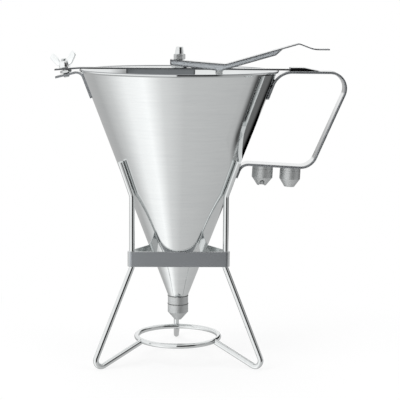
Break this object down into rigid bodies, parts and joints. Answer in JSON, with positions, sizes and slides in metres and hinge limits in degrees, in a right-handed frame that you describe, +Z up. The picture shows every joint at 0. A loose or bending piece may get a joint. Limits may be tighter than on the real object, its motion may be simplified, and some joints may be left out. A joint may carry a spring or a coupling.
{
  "type": "dosing funnel on a stand",
  "caption": "Stainless dosing funnel on a wire stand: sprung valve rod worked by a thumb lever on a bridge, wing-nut clamp, and a loop handle that stores spare nozzles.",
  "frame": {"origin": "on the cone's axis at the level that the three feet stand on", "axes": "+Z up along the cone's axis, +X towards the handle, -Y towards the viewer of the picture"},
  "size_m": [0.2926, 0.1964, 0.3185],
  "materials": {
    "polished_sheet": "mirror-polished stainless sheet",
    "polished_strip": "polished stainless strip",
    "wire_chrome": "bright drawn wire",
    "satin_sheet": "satin stainless sheet",
    "turned_steel": "turned stainless, fine tool marks",
    "fastener_steel": "bright fastener steel",
    "spring_steel": "bright spring wire"
  },
  "bodies": {
    "stand": {"front_left_leg": "wire_chrome", "front_right_leg": "wire_chrome", "rear_leg": "wire_chrome", "stand_band": "satin_sheet", "base_ring": "wire_chrome"},
    "funnel": {"funnel_cone": "polished_sheet", "outlet_collar": "turned_steel", "handle_strip": "polished_strip", "handle_keeper": "satin_sheet", "stud_bracket": "polished_strip", "clamp_stud": "fastener_steel", "stud_nut": "fastener_steel", "bridge_bar": "satin_sheet", "guide_bush": "turned_steel", "bush_nut": "fastener_steel", "return_spring": "spring_steel", "nozzle_boss_left": "turned_steel", "nozzle_boss_right": "turned_steel"},
    "clamp": {"wing_nut": "fastener_steel"},
    "lever": {"thumb_lever": "satin_sheet", "pivot_pin": "turned_steel"},
    "plunger": {"plunger_rod": "turned_steel", "valve_plug": "turned_steel", "cap_nut": "fastener_steel", "spring_seat": "turned_steel", "retaining_pin": "fastener_steel"},
    "outlet_nozzle": {"fitted_nozzle": "turned_steel"},
    "left_spare": {"spare_nozzle_left": "turned_steel"},
    "right_spare": {"spare_nozzle_right": "turned_steel"}
  },
  "joints": [
    {"name": "funnel_lift", "type": "slide", "parent": "stand", "child": "funnel", "axis": [0, 0, 1], "range_m": [0, 0.17]},
    {"name": "lever_press", "type": "hinge", "parent": "funnel", "child": "lever", "pos_m": [0.039, 0, 0.2885], "axis": [0, 1, 0], "range_deg": [0, 10], "stiffness_Nm_per_rad": 2, "springref_deg": -5.73},
    {"name": "rod_lift", "type": "slide", "parent": "funnel", "child": "plunger", "axis": [0, 0, 1], "range_m": [0, 0.0084], "deforming": ["return_spring"]},
    {"name": "wing_nut_turn", "type": "hinge", "parent": "funnel", "child": "clamp", "pos_m": [-0.11228, 0, 0.29083], "axis": [-0.1736, 0, 0.9848], "continuous": true},
    {"name": "nozzle_turn", "type": "hinge", "parent": "funnel", "child": "outlet_nozzle", "pos_m": [0, 0, 0.05], "axis": [0, 0, 1], "continuous": true},
    {"name": "spare_left_turn", "type": "hinge", "parent": "funnel", "child": "left_spare", "pos_m": [0.0835, 0, 0.19731], "axis": [0.0489, 0, 0.9988], "continuous": true},
    {"name": "spare_right_turn", "type": "hinge", "parent": "funnel", "child": "right_spare", "pos_m": [0.111, 0, 0.19597], "axis": [0.0489, 0, 0.9988], "continuous": true}
  ],
  "couplings": [
    {"joint": "rod_lift", "follows": "lever_press", "m_per_rad": 0.0475}
  ]
}
